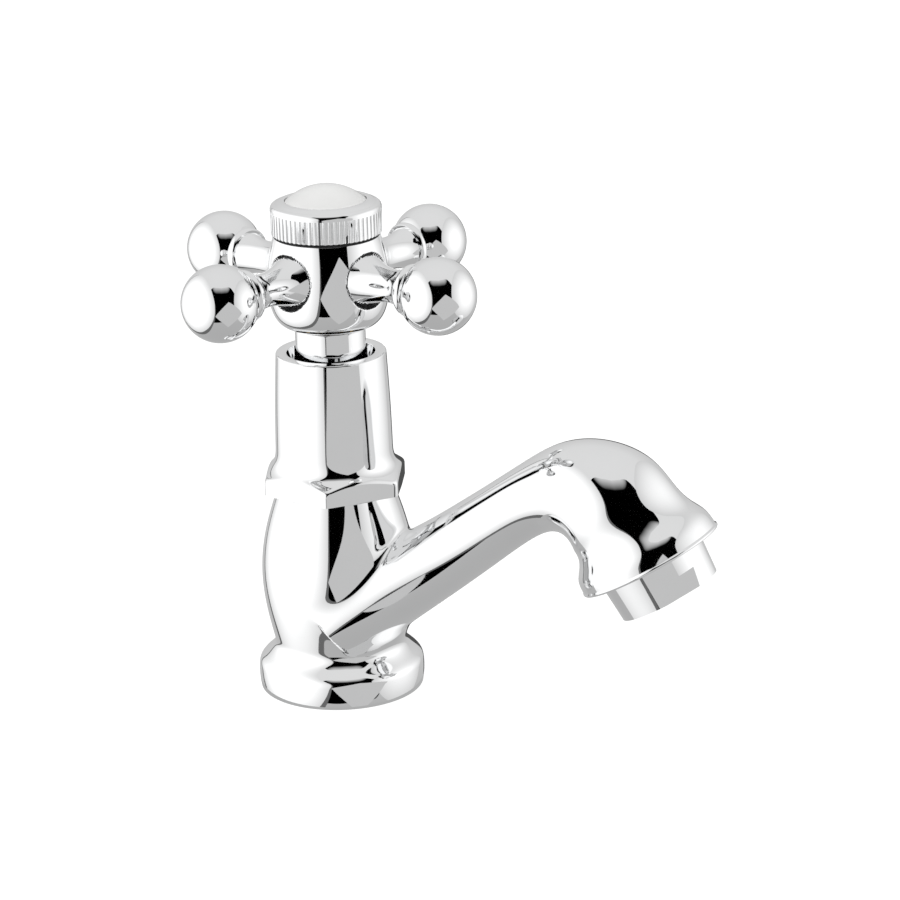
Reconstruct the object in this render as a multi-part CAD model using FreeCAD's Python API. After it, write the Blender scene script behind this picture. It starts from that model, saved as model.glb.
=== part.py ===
"""Basin pillar tap with a cross handle on a rising spindle.

Millimetres.  The origin is the centre of the base flange's underside, +Z runs up the
column and the spout points along +X.  The tap is drawn shut.
"""
import FreeCAD
import Part
import math
import os
from FreeCAD import Placement, Rotation, Vector

# ---- room between pieces that meet
SCREWED_GAP = 0.05          # radial room of a screwed joint, both threads drawn plain
RUNNING_GAP = 0.05          # radial room of a stem that slides or turns
LOOSE_GAP = 0.3             # radial room of rings that drop over the tail
LIFT_PLAY = 0.1             # end play of the spindle on the jumper and under its stop
CUT_OVER = 1.0              # how far a cutting solid runs past the face it opens
NEAR = 0.01                 # two heights closer than this are the same

# ---- base flange and column, one turned outline
FLANGE_FOOT_R = 21.3
FLANGE_CREST_R = 21.65
FLANGE_CREST_Z = 3.9
FLANGE_EDGE_R = 21.4        # where the side turns into the shoulder
FLANGE_EDGE_Z = 6.8
SHOULDER_R = 20.6           # where the shoulder's slope starts
SHOULDER_Z = 8.0
SHOULDER_BULGE = 0.15       # of the round edge between the two
WAIST_R = 16.8
WAIST_Z = 11.3
WAIST_FILLET = 2.5
LOWER_COLUMN_R = 18.95      # halfway from waist to belly
BELLY_R = 19.9
BELLY_Z = 31.0
UPPER_COLUMN_R = 18.55      # halfway from belly to neck
NECK_R = 15.05
NECK_Z = 53.9               # the land that the shroud's foot stands on
SPIGOT_R = 13.0             # threaded spigot inside the shroud's foot
SPIGOT_HEIGHT = 5.1

# ---- spout: a straight rise, then a swollen bend down to the bell mouth
SPOUT_START_Z = 16.2        # where the spout's axis leaves the column's axis
SPOUT_RISE = 36.6           # degrees above level
SPOUT_RUN = 63.2            # along the rise, from the column's axis to the bend
ROOT_OFFSET = 6.0           # along the rise, to the root's first section
ROOT_R = 12.0
KNEE_R = 8.8
STRAIGHT_SECTIONS = 8
TAPER_POWER = 1.6           # the straight thins quickly at first, then slowly
CROTCH_FILLET = 5.0
# sections of the bend: forward of the knee, above it, tilt in degrees, radius
BEND_SECTIONS = (
    (7.1, 4.1, 24.0, 9.8),
    (13.9, 6.1, 7.0, 12.2),
    (20.6, 5.4, -15.0, 14.3),
    (25.7, 3.0, -36.0, 15.1),
    (29.3, -1.2, -51.0, 15.6),
    (32.4, -5.8, -58.0, 17.6),
)
MOUTH_FORWARD = 35.5        # of the knee, to the centre of the mouth's rim
MOUTH_DROP = 10.4           # below the knee
MOUTH_TILT = 30.0           # degrees outwards from straight down
MOUTH_R = 19.0
MOUTH_EDGE = 0.8            # rounding of the rim

# ---- waterways
INLET_R = 6.5
ORIFICE_R = 5.5
ORIFICE_FOOT_Z = 12.0
CHAMBER_R = 9.2
CHAMBER_FLOOR_Z = 22.6
SEAT_Z = 24.0               # top of the raised seat
SEAT_R = 7.3
PASSAGE_Z = 31.0            # level mouth of the spout's waterway in the chamber
PASSAGE_R = 5.0
SPOUT_BORE_R = 5.6
THROAT_H = 2.0              # short straight throat above the aerator's seal

# ---- tail and the pieces under the flange
TAIL_R = 10.478             # G 1/2 thread, drawn plain at its major diameter
TAIL_LENGTH = 50.0
TAIL_CHAMFER = 0.8
FLANGE_RECESS = 2.0
FLANGE_RIM = 2.8            # width of the rim that stands on the deck
DECK_THICKNESS = 18.0
DECK_WASHER_R = 21.0
DECK_WASHER_H = 3.0
CLAMP_WASHER_R = 20.0
CLAMP_WASHER_H = 1.5
BACKNUT_FLATS = 28.0
BACKNUT_H = 8.0
BACKNUT_COLLAR_R = 15.2
BACKNUT_COLLAR_H = 1.5

# ---- headwork: bonnet, gland and spindle
BONNET_THREAD_R = 10.43
BONNET_THREAD_H = 14.0
BONNET_NOSE_R = 8.8
BONNET_NOSE_H = 5.0
BONNET_FLATS = 21.0
BONNET_HEX_H = 5.0
BONNET_WASHER_R = 12.6
BONNET_WASHER_H = 1.0
BONNET_BARREL_R = 6.5
BONNET_BARREL_H = 11.0
SPINDLE_THREAD_R = 5.95
STEM_R = 4.5
GLAND_R = 5.6
PACKING_H = 3.0
GLAND_SPIGOT_H = 4.0
GLAND_FLATS = 12.5
GLAND_HEX_H = 6.0
VALVE_LIFT = 5.0            # rise of the spindle from shut to full open
SQUARE_FLATS = 6.3
SQUARE_END_GAP = 0.5        # below the web and the ceiling, so that the screw clamps the hub

# ---- valve on the seat
SEAT_WASHER_R = 8.4
SEAT_WASHER_H = 3.0
JUMPER_PLATE_R = 8.0
JUMPER_PLATE_H = 2.0
JUMPER_STEM_R = 3.0
JUMPER_STEM_H = 9.0
JUMPER_STUD_R = 2.0
WASHER_NUT_FLATS = 7.0
WASHER_NUT_H = 2.6
STUD_PROUD = 0.5

# ---- shroud: tapered sleeve on a hexagon foot
SHROUD_FLATS = 34.4
SHROUD_TURN = -12.4         # degrees, a corner of the hexagon from +X
HEX_TOP_Z = 60.7
HEX_TOP_R = 15.4            # where the sleeve leaves the chamfered foot
HEX_CHAMFER = 30.0          # degrees
SLEEVE_WAIST_R = 14.85      # halfway up the sleeve
SLEEVE_TOP_R = 14.15
SLEEVE_RISE = 8.4           # from the gland nut's top up to the sleeve's top
SLEEVE_MOUTH_R = 11.35
SLEEVE_EDGE = 0.4
SLEEVE_STEP = 0.2           # ledge at the foot of the sleeve

# ---- handle hub and skirt
HUB_GAP = 6.6               # from the sleeve's top up to the hub's foot
HUB_HEIGHT = 24.2
HUB_R = 14.3
HUB_TOP_R = 14.05
HUB_ROUND = 4.25            # rounding of the hub's lower edge
HUB_BARREL = 0.1            # how far the hub's side swells
HUB_WEB_H = 7.0             # from the hub's foot up to the web's top
SKIRT_R = 9.0
SKIRT_WALL = 1.4
SKIRT_REACH = 11.4          # from the sleeve's top down to the skirt's foot
GLAND_ROOM = 2.0            # from the gland nut's top up to the hub's ceiling
POCKET_R = 9.0
CAP_THREAD_R = 11.0
SPOTFACE_R = 7.2            # round recess that each arm's root sits in
SPOTFACE_RADIUS = 12.9      # how far its floor is from the handle's axis

# ---- the four arms
ARM_COUNT = 4
ARM_TURN = -20.0            # degrees, the first arm from +X
ARM_RISE = 14.3             # of the arms' axis above the hub's foot
BALL_RADIUS = 37.8          # ball's centre from the handle's axis
BALL_R = 9.74
COLLAR_R = 6.65             # crest of the bead between ball and neck
COLLAR_EDGE_R = 6.1
COLLAR_WIDTH = 2.3
COLLAR_OFFSET = 8.6         # bead's crest from the ball's centre
ARM_TRUMPET_R = 5.5         # neck where it leaves the bead
ARM_NECK_R = 4.3
ARM_NECK_OFFSET = 16.0      # narrowest place from the ball's centre
ARM_ROOT_R = 6.85
ARM_ROOT_LIP = 0.7
ARM_FLARE_R = 4.9           # on the flare, ARM_FLARE_REACH outwards of the root's lip
ARM_FLARE_REACH = 4.6
ARM_SPIGOT_R = 4.0
ARM_SPIGOT_REACH = 9.6      # inner end of the spigot from the handle's axis

# ---- index ring and button, heights from the hub's top
RING_R = 14.1
RING_SEAM_R = 13.3
RING_SEAM_H = 0.6
RING_FLUTE_H = 6.4
RING_SIDE_H = 6.8
RING_CORNER_R = 13.75       # on the round between side and shoulder
RING_CORNER_H = 7.8
RING_SHOULDER_R = 12.9
RING_SHOULDER_H = 8.2
RING_CREST_R = 11.7         # on the round at the top of the shoulder
RING_CREST_H = 8.75
RING_HEIGHT = 8.9
RING_FLOOR = 1.5            # web under the button
RING_BORE_R = 10.4
RING_SPIGOT_H = 3.6
RING_HOLLOW_R = 8.2
FLUTE_COUNT = 64
FLUTE_DEPTH = 0.35
FLUTE_LAND = 0.3            # plain share of each flute's pitch
BUTTON_GAP = 0.1
BUTTON_SEAT_H = 5.8
BUTTON_EDGE_H = 8.6
BUTTON_TOP_H = 12.7

# ---- handle screw
SCREW_R = 2.0
SCREW_LENGTH = 12.0
SCREW_HEAD_R = 3.5
SCREW_HEAD_H = 3.0
SCREW_SOCKET_FLATS = 3.0
SCREW_SOCKET_H = 1.6
SCREW_WASHER_R = 5.0
SCREW_WASHER_H = 0.8

# ---- aerator, measured from the mouth's rim along the outlet's axis
AERATOR_THREAD_R = 12.0     # M24 thread, drawn plain
AERATOR_THREAD_H = 7.0
AERATOR_SHELL_R = 13.9
AERATOR_FOOT_R = 13.2
AERATOR_SHELL_H = 9.8
AERATOR_FLATS = 24.6
AERATOR_FLAT_H = 5.0
AERATOR_FLAT_TURN = 50.0    # degrees about the outlet's axis
AERATOR_BORE_R = 10.7
AERATOR_LIP_R = 9.9
AERATOR_LIP_H = 1.2
AERATOR_SEAL_H = 1.6
AERATOR_SEAL_BORE_R = 9.0
AERATOR_MESH_H = 0.5
INSERT_HOLE_R = 1.1
INSERT_HOLE_COUNT = 8
INSERT_HOLE_RADIUS = 6.6
INSERT_H = 11.0

# ---- heights that follow from the sizes above
SPIGOT_TOP_Z = NECK_Z + SPIGOT_HEIGHT
BONNET_SEAT_Z = SPIGOT_TOP_Z + BONNET_WASHER_H
BONNET_HEX_TOP_Z = BONNET_SEAT_Z + BONNET_HEX_H
BARREL_TOP_Z = BONNET_HEX_TOP_Z + BONNET_BARREL_H
GLAND_TOP_Z = BARREL_TOP_Z + GLAND_HEX_H
SLEEVE_TOP_Z = GLAND_TOP_Z + SLEEVE_RISE
SKIRT_FOOT_Z = SLEEVE_TOP_Z - SKIRT_REACH
HUB_CEILING_Z = GLAND_TOP_Z + GLAND_ROOM
HUB_FOOT_Z = SLEEVE_TOP_Z + HUB_GAP
HUB_TOP_Z = HUB_FOOT_Z + HUB_HEIGHT
HUB_WEB_TOP_Z = HUB_FOOT_Z + HUB_WEB_H
ARM_AXIS_Z = HUB_FOOT_Z + ARM_RISE
BUTTON_SEAT_Z = HUB_TOP_Z + BUTTON_SEAT_H
JUMPER_FOOT_Z = SEAT_Z + SEAT_WASHER_H
JUMPER_TOP_Z = JUMPER_FOOT_Z + JUMPER_PLATE_H
SPINDLE_FOOT_Z = JUMPER_TOP_Z + LIFT_PLAY
SPINDLE_SHOULDER_Z = BONNET_SEAT_Z - VALVE_LIFT - LIFT_PLAY
SQUARE_TOP_Z = HUB_WEB_TOP_Z - SQUARE_END_GAP
SQUARE_FOOT_Z = HUB_CEILING_Z - SQUARE_END_GAP
DECK_WASHER_TOP_Z = -DECK_THICKNESS
CLAMP_WASHER_TOP_Z = DECK_WASHER_TOP_Z - DECK_WASHER_H
BACKNUT_TOP_Z = CLAMP_WASHER_TOP_Z - CLAMP_WASHER_H
CAP_SPIGOT_Z = HUB_TOP_Z - RING_SPIGOT_H

UP = Vector(0, 0, 1)
AXIS_FOOT = Vector(0, 0, 0)


def turned(start, *steps):
    """Solid turned about Z from (radius, height) steps; a pair of points is an arc."""
    place = Vector(start[0], 0, start[1])
    first = place
    edges = []
    for step in steps:
        if isinstance(step[0], tuple):
            via, end = (Vector(r, 0, z) for r, z in step)
            edges.append(Part.Arc(place, via, end).toShape())
        else:
            end = Vector(step[0], 0, step[1])
            edges.append(Part.LineSegment(place, end).toShape())
        place = end
    edges.append(Part.LineSegment(place, first).toShape())
    return Part.Face(Part.Wire(edges)).revolve(AXIS_FOOT, UP, 360)


def rod(radius, low, high):
    return Part.makeCylinder(radius, high - low, Vector(0, 0, low))


def ring(outer, inner, low, high):
    return rod(outer, low, high).cut(rod(inner, low, high))


def corner_radius(flats, sides):
    return flats / 2 / math.cos(math.pi / sides)


def prism(flats, sides, low, high, turn=0.0):
    """Upright prism across flats, its first corner turned from +X."""
    corner_r = corner_radius(flats, sides)
    angles = [math.radians(turn) + 2 * math.pi * k / sides for k in range(sides)]
    corners = [Vector(corner_r * math.cos(a), corner_r * math.sin(a), low) for a in angles]
    outline = Part.makePolygon(corners + corners[:1])
    return Part.Face(outline).extrude(Vector(0, 0, high - low))


def hex_nut(flats, low, high):
    """Hexagon whose corners are turned off at 30 degrees, above and below."""
    flat_r, corner_r = flats / 2, corner_radius(flats, 6)
    drop = (corner_r - flat_r) * math.tan(math.radians(30))
    blank = turned((0, low), (flat_r, low), (corner_r, low + drop),
                   (corner_r, high - drop), (flat_r, high), (0, high))
    return prism(flats, 6, low, high).common(blank)


def on_rise(distance):
    """Point on the spout's straight axis, at a distance from the column's axis."""
    rise = math.radians(SPOUT_RISE)
    return Vector(distance * math.cos(rise), 0, SPOUT_START_Z + distance * math.sin(rise))


def circle_across(centre, tilt, radius):
    """Circle square to a direction tilted above +X in the spout's plane."""
    angle = math.radians(tilt)
    circle = Part.Circle(Vector(0, 0, 0), UP, radius)
    wire = Part.Wire(circle.toShape())
    wire.Placement = Placement(centre, Rotation(Vector(0, 1, 0), 90 - math.degrees(angle)))
    return wire


def knee():
    return on_rise(SPOUT_RUN)


def mouth_placement():
    """Frame of the mouth: its +Z leaves the rim's centre with the water."""
    centre = knee() + Vector(MOUTH_FORWARD, 0, -MOUTH_DROP)
    return Placement(centre, Rotation(Vector(0, 1, 0), 180 - MOUTH_TILT))


def at_mouth(shape):
    placed = shape.copy()
    placed.Placement = mouth_placement().multiply(placed.Placement)
    return placed


def column():
    """Base flange and swelling column, with the spigot on top."""
    outline = [Vector(r, 0, z) for r, z in (
        (WAIST_R, WAIST_Z),
        (LOWER_COLUMN_R, (WAIST_Z + BELLY_Z) / 2),
        (BELLY_R, BELLY_Z),
        (UPPER_COLUMN_R, (BELLY_Z + NECK_Z) / 2),
        (NECK_R, NECK_Z))]
    swell = Part.BSplineCurve()
    swell.interpolate(outline)
    foot = Vector(FLANGE_FOOT_R, 0, 0)
    crest = Vector(FLANGE_CREST_R, 0, FLANGE_CREST_Z)
    edge = Vector(FLANGE_EDGE_R, 0, FLANGE_EDGE_Z)
    shoulder = Vector(SHOULDER_R, 0, SHOULDER_Z)
    corner = (edge + shoulder) * 0.5 + Vector(SHOULDER_BULGE, 0, SHOULDER_BULGE) * 0.7
    centre, top = Vector(0, 0, 0), Vector(0, 0, NECK_Z)
    profile = [
        Part.LineSegment(centre, foot).toShape(),
        Part.Arc(foot, crest, edge).toShape(),
        Part.Arc(edge, corner, shoulder).toShape(),
        Part.LineSegment(shoulder, outline[0]).toShape(),
        swell.toShape(),
        Part.LineSegment(outline[-1], top).toShape(),
        Part.LineSegment(top, centre).toShape()]
    body = Part.Face(Part.Wire(profile)).revolve(AXIS_FOOT, UP, 360)
    return body.makeFillet(WAIST_FILLET, [e for e in body.Edges if is_waist(e)])


def spout():
    """Tapered straight, swollen bend and bell mouth as one loft of round sections."""
    bend = knee()
    sections = []
    for k in range(STRAIGHT_SECTIONS):
        share = k / (STRAIGHT_SECTIONS - 1)
        distance = ROOT_OFFSET + share * (SPOUT_RUN - ROOT_OFFSET)
        radius = KNEE_R + (ROOT_R - KNEE_R) * (1 - share) ** TAPER_POWER
        sections.append(circle_across(on_rise(distance), SPOUT_RISE, radius))
    for forward, above, tilt, radius in BEND_SECTIONS:
        sections.append(circle_across(bend + Vector(forward, 0, above), tilt, radius))
    mouth = bend + Vector(MOUTH_FORWARD, 0, -MOUTH_DROP)
    sections.append(circle_across(mouth, MOUTH_TILT - 90, MOUTH_R))
    return Part.makeLoft(sections, True, False)


def spout_waterway():
    """Level mouth in the chamber, then a bore along the spout to the aerator's socket."""
    rise = math.radians(SPOUT_RISE)
    turn_x = (PASSAGE_Z - SPOUT_START_Z) / math.tan(rise)
    turn = Vector(turn_x, 0, PASSAGE_Z)
    level = Part.makeCylinder(PASSAGE_R, turn_x, Vector(0, 0, PASSAGE_Z), Vector(1, 0, 0))
    elbow = Part.makeSphere(SPOUT_BORE_R, turn)
    bend = knee()
    straight = Part.makeCylinder(SPOUT_BORE_R, (bend - turn).Length, turn, bend - turn)
    sections = [circle_across(bend, SPOUT_RISE, SPOUT_BORE_R)]
    for forward, above, tilt, radius in BEND_SECTIONS[:-1]:
        bore_r = SPOUT_BORE_R * radius / BEND_SECTIONS[0][3]
        sections.append(circle_across(bend + Vector(forward, 0, above), tilt, bore_r))
    bore = Part.makeLoft(sections, True, False)
    depth = AERATOR_THREAD_H + AERATOR_SEAL_H
    socket = at_mouth(rod(AERATOR_THREAD_R, -depth, CUT_OVER))
    throat = at_mouth(rod(AERATOR_SEAL_BORE_R, -depth - THROAT_H, -depth))
    return [level, elbow, straight, bore, throat, socket]


def tap_body():
    body = column().fuse(spout()).removeSplitter()
    crotch = [e for e in body.Edges if is_crotch(e)]
    body = body.makeFillet(CROTCH_FILLET, crotch)
    rim = [e for e in body.Edges if is_mouth_rim(e)]
    body = body.makeFillet(MOUTH_EDGE, rim)
    body = body.cut(rod(FLANGE_FOOT_R - FLANGE_RIM, -CUT_OVER, FLANGE_RECESS))
    body = body.fuse(rod(SPIGOT_R, NECK_Z - CUT_OVER, SPIGOT_TOP_Z))
    tail_top = FLANGE_RECESS + CUT_OVER
    body = body.fuse(turned((0, -TAIL_LENGTH), (TAIL_R - TAIL_CHAMFER, -TAIL_LENGTH),
                            (TAIL_R, TAIL_CHAMFER - TAIL_LENGTH), (TAIL_R, tail_top),
                            (0, tail_top)))
    thread_foot = BONNET_SEAT_Z - BONNET_THREAD_H
    for hollow in (rod(INLET_R, -TAIL_LENGTH - CUT_OVER, ORIFICE_FOOT_Z),
                   rod(ORIFICE_R, ORIFICE_FOOT_Z - CUT_OVER, SEAT_Z + CUT_OVER),
                   ring(CHAMBER_R, SEAT_R, CHAMBER_FLOOR_Z, SEAT_Z),
                   rod(CHAMBER_R, SEAT_Z, thread_foot),
                   rod(BONNET_THREAD_R + SCREWED_GAP, thread_foot,
                       SPIGOT_TOP_Z + CUT_OVER),
                   *spout_waterway()):
        body = body.cut(hollow)
    return body


def is_waist(edge):
    """Circle where the column rises from the flange's shoulder."""
    box = edge.BoundBox
    return box.ZLength < NEAR and abs(box.ZMin - WAIST_Z) < NEAR


def is_crotch(edge):
    """Edge where the spout's skin meets the column's skin, clear of the straight spout."""
    box = edge.BoundBox
    on_column = box.XMax < FLANGE_CREST_R and box.XMin > 0
    return on_column and box.ZLength > KNEE_R


def is_mouth_rim(edge):
    """Edge round the bell mouth: the one closed circle about its centre."""
    centre = mouth_placement().Base
    return edge.isClosed() and (edge.CenterOfMass - centre).Length < MOUTH_EDGE


def base_seal():
    return ring(FLANGE_FOOT_R - FLANGE_RIM - LOOSE_GAP, TAIL_R + LOOSE_GAP, 0, FLANGE_RECESS)


def deck_washer():
    low = DECK_WASHER_TOP_Z - DECK_WASHER_H
    return ring(DECK_WASHER_R, TAIL_R + LOOSE_GAP, low, DECK_WASHER_TOP_Z)


def clamp_washer():
    low = CLAMP_WASHER_TOP_Z - CLAMP_WASHER_H
    return ring(CLAMP_WASHER_R, TAIL_R + LOOSE_GAP, low, CLAMP_WASHER_TOP_Z)


def backnut():
    """Hexagon nut with a round collar that bears on the washer."""
    low = BACKNUT_TOP_Z - BACKNUT_H
    collar_foot = BACKNUT_TOP_Z - BACKNUT_COLLAR_H
    nut = hex_nut(BACKNUT_FLATS, low, collar_foot)
    nut = nut.fuse(rod(BACKNUT_COLLAR_R, collar_foot, BACKNUT_TOP_Z))
    return nut.cut(rod(TAIL_R + RUNNING_GAP, low - CUT_OVER, BACKNUT_TOP_Z + CUT_OVER))


def headwork_bonnet():
    """Nose in the chamber, thread, hexagon, and the barrel that holds the gland."""
    thread_foot = BONNET_SEAT_Z - BONNET_THREAD_H + LOOSE_GAP
    body = rod(BONNET_NOSE_R, thread_foot - BONNET_NOSE_H, thread_foot)
    body = body.fuse(rod(BONNET_THREAD_R, thread_foot, BONNET_SEAT_Z))
    body = body.fuse(hex_nut(BONNET_FLATS, BONNET_SEAT_Z, BONNET_HEX_TOP_Z))
    body = body.fuse(rod(BONNET_BARREL_R, BONNET_HEX_TOP_Z, BARREL_TOP_Z))
    gland_foot = BARREL_TOP_Z - GLAND_SPIGOT_H - PACKING_H
    body = body.cut(rod(SPINDLE_THREAD_R + RUNNING_GAP, 0, BONNET_SEAT_Z))
    barrel_end = BARREL_TOP_Z + CUT_OVER
    body = body.cut(rod(STEM_R + RUNNING_GAP, BONNET_SEAT_Z - CUT_OVER, barrel_end))
    return body.cut(rod(GLAND_R + SCREWED_GAP, gland_foot, barrel_end))


def bonnet_washer():
    return ring(BONNET_WASHER_R, BONNET_THREAD_R + SCREWED_GAP, SPIGOT_TOP_Z, BONNET_SEAT_Z)


def gland_packing():
    top = BARREL_TOP_Z - GLAND_SPIGOT_H
    return ring(GLAND_R, STEM_R + RUNNING_GAP, top - PACKING_H, top)


def gland_nut():
    spigot_foot = BARREL_TOP_Z - GLAND_SPIGOT_H
    nut = hex_nut(GLAND_FLATS, BARREL_TOP_Z, GLAND_TOP_Z)
    nut = nut.fuse(rod(GLAND_R, spigot_foot, BARREL_TOP_Z))
    return nut.cut(rod(STEM_R + RUNNING_GAP, spigot_foot - CUT_OVER, GLAND_TOP_Z + CUT_OVER))


def spindle():
    """Coarse thread, plain stem and square head, bored for the jumper and the screw."""
    body = rod(SPINDLE_THREAD_R, SPINDLE_FOOT_Z, SPINDLE_SHOULDER_Z)
    body = body.fuse(rod(STEM_R, SPINDLE_SHOULDER_Z, SQUARE_FOOT_Z))
    body = body.fuse(prism(SQUARE_FLATS, 4, SQUARE_FOOT_Z, SQUARE_TOP_Z))
    jumper_bore = rod(JUMPER_STEM_R + RUNNING_GAP, SPINDLE_FOOT_Z - CUT_OVER,
                      JUMPER_TOP_Z + JUMPER_STEM_H + LIFT_PLAY)
    screw_foot = HUB_WEB_TOP_Z + SCREW_WASHER_H - SCREW_LENGTH
    screw_bore = rod(SCREW_R + SCREWED_GAP, screw_foot - LOOSE_GAP, SQUARE_TOP_Z + CUT_OVER)
    return body.cut(jumper_bore).cut(screw_bore)


def jumper():
    """Valve plate with a stem above and a stud for the washer nut below."""
    stud_foot = SEAT_Z - WASHER_NUT_H - STUD_PROUD
    body = rod(JUMPER_PLATE_R, JUMPER_FOOT_Z, JUMPER_TOP_Z)
    body = body.fuse(rod(JUMPER_STEM_R, JUMPER_TOP_Z, JUMPER_TOP_Z + JUMPER_STEM_H))
    return body.fuse(rod(JUMPER_STUD_R, stud_foot, JUMPER_FOOT_Z))


def seat_washer():
    return ring(SEAT_WASHER_R, JUMPER_STUD_R + SCREWED_GAP, SEAT_Z, JUMPER_FOOT_Z)


def washer_nut():
    nut = hex_nut(WASHER_NUT_FLATS, SEAT_Z - WASHER_NUT_H, SEAT_Z)
    return nut.cut(rod(JUMPER_STUD_R + SCREWED_GAP, 0, SEAT_Z + CUT_OVER))


def bonnet_shroud():
    """Hexagon foot with its corners turned off, and the tapered sleeve above it."""
    corner_r = corner_radius(SHROUD_FLATS, 6)
    drop = (corner_r - HEX_TOP_R) * math.tan(math.radians(HEX_CHAMFER))
    blank = turned((0, NECK_Z), (corner_r, NECK_Z), (corner_r, HEX_TOP_Z - drop),
                   (HEX_TOP_R, HEX_TOP_Z), (0, HEX_TOP_Z))
    foot = prism(SHROUD_FLATS, 6, NECK_Z, HEX_TOP_Z, SHROUD_TURN).common(blank)
    waist = (SLEEVE_WAIST_R, (HEX_TOP_Z + SLEEVE_TOP_Z) / 2)
    sleeve_foot_r = HEX_TOP_R - SLEEVE_STEP
    sleeve = turned((0, HEX_TOP_Z - CUT_OVER), (sleeve_foot_r, HEX_TOP_Z - CUT_OVER),
                    (sleeve_foot_r, HEX_TOP_Z),
                    (waist, (SLEEVE_TOP_R, SLEEVE_TOP_Z - SLEEVE_EDGE)),
                    (SLEEVE_TOP_R - SLEEVE_EDGE, SLEEVE_TOP_Z), (0, SLEEVE_TOP_Z))
    hollow_r = BONNET_WASHER_R + LOOSE_GAP
    hollow = turned((0, BONNET_SEAT_Z), (hollow_r, BONNET_SEAT_Z),
                    (hollow_r, BONNET_HEX_TOP_Z), (SLEEVE_MOUTH_R, SLEEVE_TOP_Z),
                    (SLEEVE_MOUTH_R, SLEEVE_TOP_Z + CUT_OVER), (0, SLEEVE_TOP_Z + CUT_OVER))
    body = foot.fuse(sleeve).cut(hollow)
    return body.cut(rod(SPIGOT_R + SCREWED_GAP, NECK_Z - CUT_OVER, BONNET_SEAT_Z))


def arm_frame(index):
    """Placement that lays an arm's own +Z outwards along the handle's arm."""
    azimuth = ARM_TURN + 360.0 * index / ARM_COUNT
    turn = Rotation(UP, azimuth).multiply(Rotation(Vector(0, 1, 0), 90))
    return Placement(Vector(0, 0, ARM_AXIS_Z), turn)


def placed(shape, placement):
    copy = shape.copy()
    copy.Placement = placement.multiply(copy.Placement)
    return copy


def handle_hub():
    """Hub with the skirt below it, spot-faced for the arms and hollow for the screw."""
    round_r = HUB_R - HUB_ROUND
    round_z = HUB_FOOT_Z + HUB_ROUND
    diagonal = HUB_ROUND * math.sqrt(0.5)
    belly = ((HUB_R + HUB_TOP_R) / 2 + HUB_BARREL, (round_z + HUB_TOP_Z) / 2)
    body = turned((0, SKIRT_FOOT_Z), (SKIRT_R, SKIRT_FOOT_Z), (SKIRT_R, HUB_FOOT_Z),
                  (round_r, HUB_FOOT_Z),
                  ((round_r + diagonal, round_z - diagonal), (HUB_R, round_z)),
                  (belly, (HUB_TOP_R, HUB_TOP_Z)), (0, HUB_TOP_Z))
    broach = prism(SQUARE_FLATS + 2 * SCREWED_GAP, 4, HUB_CEILING_Z - CUT_OVER, SQUARE_TOP_Z)
    hub_end = HUB_TOP_Z + CUT_OVER
    for hollow in (rod(SKIRT_R - SKIRT_WALL, SKIRT_FOOT_Z - CUT_OVER, HUB_CEILING_Z),
                   broach,
                   rod(SCREW_R + LOOSE_GAP, SQUARE_TOP_Z - CUT_OVER, HUB_WEB_TOP_Z + CUT_OVER),
                   rod(POCKET_R, HUB_WEB_TOP_Z, hub_end),
                   rod(CAP_THREAD_R, CAP_SPIGOT_Z - LOOSE_GAP, hub_end)):
        body = body.cut(hollow)
    for index in range(ARM_COUNT):
        spotface = rod(SPOTFACE_R, SPOTFACE_RADIUS, HUB_R + CUT_OVER)
        hole = rod(ARM_SPIGOT_R + SCREWED_GAP, POCKET_R - CUT_OVER, HUB_R)
        body = body.cut(placed(spotface, arm_frame(index)))
        body = body.cut(placed(hole, arm_frame(index)))
    return body


def handle_arm(index):
    """Ball, bead, waisted neck and flared root with its threaded spigot."""
    collar_low = BALL_RADIUS - COLLAR_OFFSET - COLLAR_WIDTH / 2
    collar_high = collar_low + COLLAR_WIDTH
    ball = Part.makeSphere(BALL_R, Vector(0, 0, BALL_RADIUS))
    collar = turned((0, collar_low), (COLLAR_EDGE_R, collar_low),
                    ((COLLAR_R, (collar_low + collar_high) / 2),
                     (COLLAR_EDGE_R, collar_high)), (0, collar_high))
    neck_z = BALL_RADIUS - ARM_NECK_OFFSET
    lip_z = SPOTFACE_RADIUS + ARM_ROOT_LIP
    flare = Part.BSplineCurve()
    flare_points = [Vector(ARM_ROOT_R, 0, lip_z),
                    Vector(ARM_FLARE_R, 0, lip_z + ARM_FLARE_REACH),
                    Vector(ARM_NECK_R, 0, neck_z),
                    Vector(ARM_TRUMPET_R, 0, collar_low)]
    flare.interpolate(flare_points)
    foot, axis_foot = Vector(ARM_ROOT_R, 0, SPOTFACE_RADIUS), Vector(0, 0, SPOTFACE_RADIUS)
    axis_top = Vector(0, 0, collar_low)
    outline = [Part.LineSegment(axis_foot, foot).toShape(),
               Part.LineSegment(foot, flare_points[0]).toShape(), flare.toShape(),
               Part.LineSegment(flare_points[-1], axis_top).toShape(),
               Part.LineSegment(axis_top, axis_foot).toShape()]
    neck = Part.Face(Part.Wire(outline)).revolve(AXIS_FOOT, UP, 360)
    spigot = rod(ARM_SPIGOT_R, ARM_SPIGOT_REACH, SPOTFACE_RADIUS)
    arm = neck.fuse(collar).fuse(ball).fuse(spigot)
    return placed(arm, arm_frame(index))


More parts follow.
